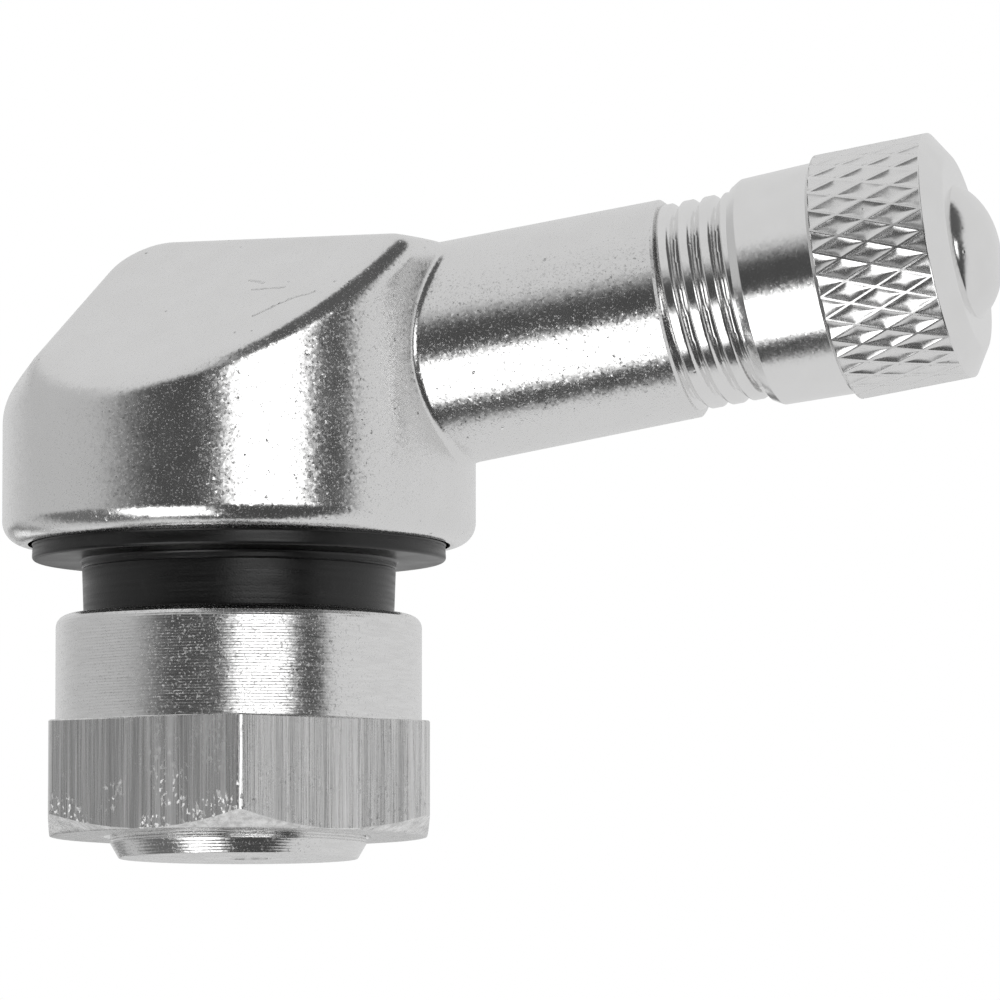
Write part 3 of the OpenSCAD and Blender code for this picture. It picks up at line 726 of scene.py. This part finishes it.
def surface(name, **fixed):
    """Principled material with its fixed values set, its graph and its shader."""
    material = bpy.data.materials.new(name)
    material.use_nodes = True
    graph = Graph(material.node_tree)
    shader = graph.add("BsdfPrincipled", {key.replace("_", " "): value for key, value in fixed.items()})
    graph.add("OutputMaterial", {"Surface": shader.outputs[0]})
    return material, graph, shader


def grey(level, warmth=0.0):
    return (level * (1 + warmth), level, level * (1 - warmth), 1)


def scratch(graph, place, start, end, width):
    """1 along a straight scratch between two places in millimetres, 0 away from it."""
    run = np.subtract(end, start)
    offset = graph.vector("SUBTRACT", place, list(start))
    share = graph.remap(graph.dot(offset, (run / (run @ run)).tolist()), 0.0, 1.0)
    nearest = graph.scaled(run.tolist(), share)
    gap = graph.add("VectorMath", {0: graph.vector("SUBTRACT", offset, nearest)}, operation="LENGTH")
    return graph.remap(gap.outputs["Value"], 0.0, width, 1.0, 0.0)


def plated(name, lean, pits, specks, roughness, level=0.84, scratches=(), dull_band=0.0):
    """Bright plated metal: a fine sparkling grain, a few pits and scratches, soft changes of sheen."""
    material, graph, shader = surface(name, Metallic=1.0)
    place = graph.millimetres()
    coarse = graph.noise(place, 0.9, 3.0)
    grain = graph.remap(graph.noise(place, 8.0, 1.0), 0.5, 0.7, 0.6, 1.5)
    sparkle = graph.remap(graph.noise(place, 11.0, 1.0), 0.62, 0.67, 0.0, 2.8 * specks)
    normal = graph.glitter(place, 10.0, lean, graph.math("ADD", grain, sparkle))
    normal = graph.bump(graph.noise(place, 4.0, 2.0), 0.002 * specks, normal=normal)
    wander = graph.add("TexNoise", {"Vector": place, "Scale": 5.0}).outputs["Color"]
    wander = graph.vector("MULTIPLY", graph.vector("SUBTRACT", wander, [0.5] * 3), [0.16] * 3)
    wandering = graph.vector("ADD", place, wander)
    distance, cell = graph.cells(wandering, 1.5)
    chosen = graph.remap(graph.add("SeparateColor", {0: cell}).outputs[0], 0.80, 0.84)
    worn = graph.math("MULTIPLY", chosen, graph.remap(distance, 0.02, 0.12, pits, 0.0, smooth=True))
    for start, end in scratches:
        worn = graph.math("MAXIMUM", worn, scratch(graph, wandering, start, end, SCRATCH_W))
    normal = graph.bump(worn, -0.028, normal=normal)
    tone = graph.blend(graph.remap(coarse, 0.3, 0.7), grey(level * 0.965, 0.003), grey(level, 0.002))
    tone = graph.blend(graph.math("MULTIPLY", worn, 0.4), tone, grey(level * 0.7))
    graph.set(shader.inputs["Base Color"], tone)
    speck = graph.remap(graph.noise(place, 14.0, 1.0), 0.6, 0.67, 0.0, 0.2 * specks)
    sheen = graph.remap(coarse, 0.3, 0.7, roughness, roughness + 0.05)
    # The rolled knurl is duller than the turned skirt and end
    offset = graph.vector("SUBTRACT", place, STEM_ORIGIN.tolist())
    along = graph.dot(offset, STEM_AXIS.tolist())
    rolled = graph.math("MULTIPLY", graph.math("GREATER_THAN", along, KNURL_START),
                        graph.math("LESS_THAN", along, KNURL_END))
    sheen = graph.math("ADD", sheen, graph.math("MULTIPLY", rolled, dull_band))
    graph.set(shader.inputs["Roughness"], graph.math("ADD", sheen, speck))
    graph.set(shader.inputs["Normal"], normal)
    return material


def turned_metal(name):
    """Lathe-turned metal: fine rings along the axis, broken streaks and small bright specks."""
    material, graph, shader = surface(name, Metallic=1.0)
    place = graph.millimetres()
    height = graph.add("SeparateXYZ", {0: place}).outputs[2]
    wander = graph.noise(graph.millimetres((0.12, 0.12, 0.9)), 1.0, 2.0)
    ring_pitch = 0.11
    even = graph.math("MULTIPLY", height, 2 * math.pi / ring_pitch)
    ring = graph.math("SINE", graph.math("ADD", even, graph.math("MULTIPLY", wander, 8.0)))
    streak = graph.noise(graph.millimetres((0.9, 0.9, 11.0)), 1.0, 2.0)
    speck = graph.remap(graph.noise(place, 7.0, 1.0), 0.5, 0.7, 0.35, 1.5)
    normal = graph.glitter(place, 10.0, 0.07, speck)
    normal = graph.bump(ring, 0.0017, normal=normal)
    normal = graph.bump(streak, 0.0025, normal=normal)
    graph.set(shader.inputs["Base Color"],
              graph.blend(graph.remap(streak, 0.35, 0.65), grey(0.78, 0.003), grey(0.85, 0.002)))
    sheen = graph.remap(streak, 0.3, 0.7, 0.15, 0.22)
    dull = graph.remap(graph.noise(place, 12.0, 1.0), 0.6, 0.67, 0.0, 0.25)
    graph.set(shader.inputs["Roughness"], graph.math("ADD", sheen, dull))
    graph.set(shader.inputs["Normal"], normal)
    return material


def drawn_metal(name):
    """Drawn bar left on the flats: faint streaks along the axis and bright nicks near the lower edge."""
    material, graph, shader = surface(name, Metallic=1.0)
    place = graph.millimetres()
    streak = graph.noise(graph.millimetres((3.2, 3.2, 0.06)), 1.0, 5.0, 0.7)
    broad = graph.noise(graph.millimetres((0.8, 0.8, 0.08)), 1.0, 2.0)
    height = graph.add("SeparateXYZ", {0: place}).outputs[2]
    low = graph.remap(height, NUT_FOOT + 0.5, NUT_FOOT + 2.6, 1.0, 0.18, smooth=True)
    patch_of_nicks = graph.remap(graph.noise(place, 0.7, 2.0), 0.42, 0.6)
    speck = graph.remap(graph.noise(graph.millimetres((1, 1, 0.6)), 8.0, 1.0), 0.56, 0.6)
    nick = graph.math("MULTIPLY", graph.math("MULTIPLY", speck, patch_of_nicks), low)
    sag = graph.add("CombineXYZ", {2: graph.math("MULTIPLY", nick, -0.32)}).outputs[0]
    normal = graph.vector("ADD", graph.glitter(place, 9.0, 0.4, nick), sag)
    normal = graph.vector("NORMALIZE", normal, [0.0] * 3)
    normal = graph.bump(streak, 0.02, normal=normal)
    normal = graph.bump(broad, 0.012, normal=normal)
    graph.set(shader.inputs["Base Color"],
              graph.blend(graph.remap(streak, 0.4, 0.64), grey(0.64, 0.003), grey(0.97, 0.002)))
    sheen = graph.remap(streak, 0.3, 0.7, 0.2, 0.32)
    graph.set(shader.inputs["Roughness"], graph.math("ADD", sheen, graph.math("MULTIPLY", nick, 0.2)))
    graph.set(shader.inputs["Normal"], normal)
    return material


def rubber(name, level):
    """Moulded rubber: satin black, faint moulding rings, dust and a soft sheen."""
    material, graph, shader = surface(name, Specular_IOR_Level=0.5)
    place = graph.millimetres()
    ring = graph.noise(graph.millimetres((0.3, 0.3, 7.0)), 1.0, 2.0)
    grain = graph.noise(place, 14.0, 2.0)
    dust = graph.remap(graph.noise(place, 2.2, 4.0, 0.65), 0.56, 0.75)
    normal = graph.bump(ring, 0.008)
    normal = graph.bump(grain, 0.006, normal=normal)
    graph.set(shader.inputs["Base Color"], graph.blend(dust, grey(level), grey(level * 2.4, 0.01)))
    graph.set(shader.inputs["Roughness"], graph.remap(ring, 0.3, 0.7, 0.26, 0.4))
    graph.set(shader.inputs["Normal"], normal)
    return material


def brass(name):
    """Turned brass of the valve core, a little tarnished."""
    material, graph, shader = surface(name, Metallic=1.0)
    place = graph.millimetres()
    tarnish = graph.noise(place, 1.4, 4.0, 0.6)
    streak = graph.noise(graph.millimetres((9.0, 9.0, 2.0)), 1.0, 2.0)
    graph.set(shader.inputs["Base Color"],
              graph.blend(graph.remap(tarnish, 0.35, 0.7), (0.80, 0.58, 0.27, 1), (0.58, 0.38, 0.15, 1)))
    graph.set(shader.inputs["Roughness"], graph.remap(tarnish, 0.3, 0.7, 0.2, 0.36))
    graph.set(shader.inputs["Normal"], graph.bump(streak, 0.004))
    return material


def core_plastic(name):
    """Red sealing ring of the valve core."""
    material, graph, shader = surface(name, Specular_IOR_Level=0.5)
    place = graph.millimetres()
    mottle = graph.noise(place, 2.5, 3.0)
    graph.set(shader.inputs["Base Color"],
              graph.blend(graph.remap(mottle, 0.3, 0.7), (0.42, 0.03, 0.02, 1), (0.30, 0.02, 0.015, 1)))
    graph.set(shader.inputs["Roughness"], graph.remap(mottle, 0.3, 0.7, 0.32, 0.45))
    graph.set(shader.inputs["Normal"], graph.bump(graph.noise(place, 12.0), 0.004))
    return material


def spring_wire(name):
    """Drawn spring wire."""
    material, graph, shader = surface(name, Metallic=1.0)
    place = graph.millimetres()
    streak = graph.noise(place, 7.0, 3.0)
    graph.set(shader.inputs["Base Color"], graph.blend(streak, grey(0.62), grey(0.78)))
    graph.set(shader.inputs["Roughness"], graph.remap(streak, 0.3, 0.7, 0.2, 0.34))
    graph.set(shader.inputs["Normal"], graph.bump(streak, 0.004))
    return material


# Studio

def window(graph, value, low, high, soft_low, soft_high):
    """1 between two angles in degrees, with soft ends."""
    r = math.radians
    up = graph.remap(value, r(low - soft_low), r(low + soft_low), smooth=True)
    down = graph.remap(value, r(high - soft_high), r(high + soft_high), 1.0, 0.0, smooth=True)
    return graph.math("MULTIPLY", up, down)


def patch(graph, turn, elevation, sides, soft):
    """1 inside a patch of the surroundings: its left, right, low and high side, each with a softness."""
    return graph.math("MULTIPLY", window(graph, turn, *sides[:2], *soft[:2]),
                      window(graph, elevation, *sides[2:], *soft[2:]))


def toward(azimuth, elevation):
    a, e = math.radians(azimuth), math.radians(elevation)
    return (math.sin(a) * math.cos(e), -math.cos(a) * math.cos(e), math.sin(e))


def studio_world():
    """Pale tent with dark openings before and behind the object, and white cards in them."""
    world = bpy.data.worlds.new("studio")
    bpy.context.scene.world = world
    world.use_nodes = True
    graph = Graph(world.node_tree)
    direction = graph.add("TexCoord").outputs["Generated"]
    turned_to_view = graph.add("VectorRotate", {"Vector": direction, "Angle": -math.radians(VIEW_AZIMUTH)},
                               rotation_type="Z_AXIS").outputs[0]
    x, y, z = graph.add("SeparateXYZ", {0: turned_to_view}).outputs
    azimuth = graph.math("ARCTAN2", x, graph.math("MULTIPLY", y, -1.0))
    behind = graph.math("ARCTAN2", graph.math("MULTIPLY", x, -1.0), y)
    elevation = graph.math("ARCSINE", z)

    # A round opening high on the right
    opening_edge, opening_core = math.cos(math.radians(41)), math.cos(math.radians(28))
    opening = graph.remap(graph.dot(turned_to_view, toward(25, 52)), opening_edge, opening_core, smooth=True)
    light = graph.blend(opening, grey(0.72), grey(0.10))

    # Walls, openings and cards: the turn they are counted in, their sides, softness and level
    patches = ((azimuth, (-138, -75, -60, 38), (22, 12, 10, 8), 0.54),
               (azimuth, (-112, -66, -62, -7), (10, 10, 10, 6), 0.16),
               (azimuth, (-64, 58, -83, 27), (26, 5, 6, 12), 0.07),
               (behind, (2, 42, -32, -8), (6, 10, 6, 4), 0.2),
               (azimuth, (-3, 34, -3, 18), (7, 7, 5, 4), 2.2),
               (azimuth, (-61, -16, -57, -14), (5, 5, 6, 7), 2.2),
               (behind, (13, 28, -27, -13), (4, 4, 3, 3), 1.0))
    for turn, sides, soft, level in patches:
        light = graph.blend(patch(graph, turn, elevation, sides, soft), light, grey(level))

    # The camera itself sees plain white
    seen = graph.add("LightPath").outputs["Is Camera Ray"]
    shown = graph.blend(seen, light, grey(1.0))
    background = graph.add("Background", {"Color": shown, "Strength": 1.0})
    graph.add("OutputWorld", {"Surface": background.outputs[0]})


def floor_material():
    """Pale floor that keeps the shadow. Reflections see through it to the tent."""
    material, graph, shader = surface("pale_floor", Base_Color=grey(0.9), Roughness=0.9,
                                      Specular_IOR_Level=0.1)
    rays = graph.add("LightPath").outputs
    glow = graph.math("MULTIPLY", rays["Is Camera Ray"], 0.35)
    lift = graph.add("Emission", {"Color": grey(1.0), "Strength": glow})
    lit = graph.add("AddShader", {0: shader.outputs[0], 1: lift.outputs[0]})
    clear = graph.add("BsdfTransparent")
    seen = graph.add("MixShader", {0: rays["Is Glossy Ray"], 1: lit.outputs[0], 2: clear.outputs[0]})
    output = [n for n in material.node_tree.nodes if n.bl_idname == "ShaderNodeOutputMaterial"][0]
    graph.set(output.inputs["Surface"], seen.outputs[0])
    return material


def studio_floor():
    """Square floor, counted in metres like all of Blender's own values."""
    half = 2.0
    z = FLOOR_Z * MM
    mesh = bpy.data.meshes.new("floor")
    corners = [(-half, -half, z), (half, -half, z), (half, half, z), (-half, half, z)]
    mesh.from_pydata(corners, [], [(0, 1, 2, 3)])
    mesh.materials.append(floor_material())
    floor = bpy.data.objects.new("floor", mesh)
    bpy.context.scene.collection.objects.link(floor)


def overhead_light():
    lamp = bpy.data.lights.new("overhead", "AREA")
    lamp.size = 0.5
    lamp.energy = 0.9
    obj = bpy.data.objects.new("overhead", lamp)
    obj.location = (0.05, -0.1, 0.45)
    obj.rotation_euler = (math.radians(-12), 0, 0)
    obj.visible_glossy = False
    bpy.context.scene.collection.objects.link(obj)


def view_camera():
    a, e = math.radians(VIEW_AZIMUTH), math.radians(VIEW_ELEVATION)
    back = np.array([math.sin(a) * math.cos(e), -math.cos(a) * math.cos(e), math.sin(e)])
    right = np.array([math.cos(a), math.sin(a), 0])
    up = np.cross(back, right)
    place = (back * VIEW_DISTANCE + right * VIEW_RIGHT + up * VIEW_UP) * MM
    camera = bpy.data.cameras.new("view")
    camera.sensor_fit = "HORIZONTAL"
    camera.angle = 2 * math.atan(FRAME_PX / 2 / VIEW_FOCAL)
    camera.clip_start = 0.01
    obj = bpy.data.objects.new("view", camera)
    obj.matrix_world = Matrix([[right[i], up[i], back[i], place[i]] for i in range(3)] + [[0, 0, 0, 1]])
    bpy.context.scene.collection.objects.link(obj)
    bpy.context.scene.camera = obj


def dress(nodes, material):
    """Gives CAD nodes that keep their shape a finished material."""
    for name in nodes:
        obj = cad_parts[name]
        if not obj.material_slots:
            obj.data.materials.append(material)
        for slot in obj.material_slots:
            slot.material = material


# The scene

bpy.context.scene.view_settings.view_transform = "Standard"
view_camera()
studio_world()
studio_floor()
overhead_light()

forged = plated("plated_forging", 0.065, 1.0, 1.0, 0.16, scratches=FACET_SCRATCHES)
smooth_plate = plated("plated_cap", 0.035, 0.2, 0.35, 0.13, 0.87, dull_band=0.1)
lathe_metal = turned_metal("turned_metal")
bar_metal = drawn_metal("drawn_metal")
seal_black = rubber("seal_rubber", 0.006)
core_brass = brass("core_brass")

elbow_skin(forged)
stem_thread(smooth_plate)
stud_thread(lathe_metal)
seal_ring(seal_black)
hex_nut(lathe_metal, bar_metal)
cap_shell(smooth_plate)
spring_coil(spring_wire("spring_steel"))
dress(["core_plug", "core_barrel", "core_pin", "pin_cup"], core_brass)
dress(["core_seal"], core_plastic("core_ring"))
dress(["cap_gasket", "pin_seal"], seal_black)
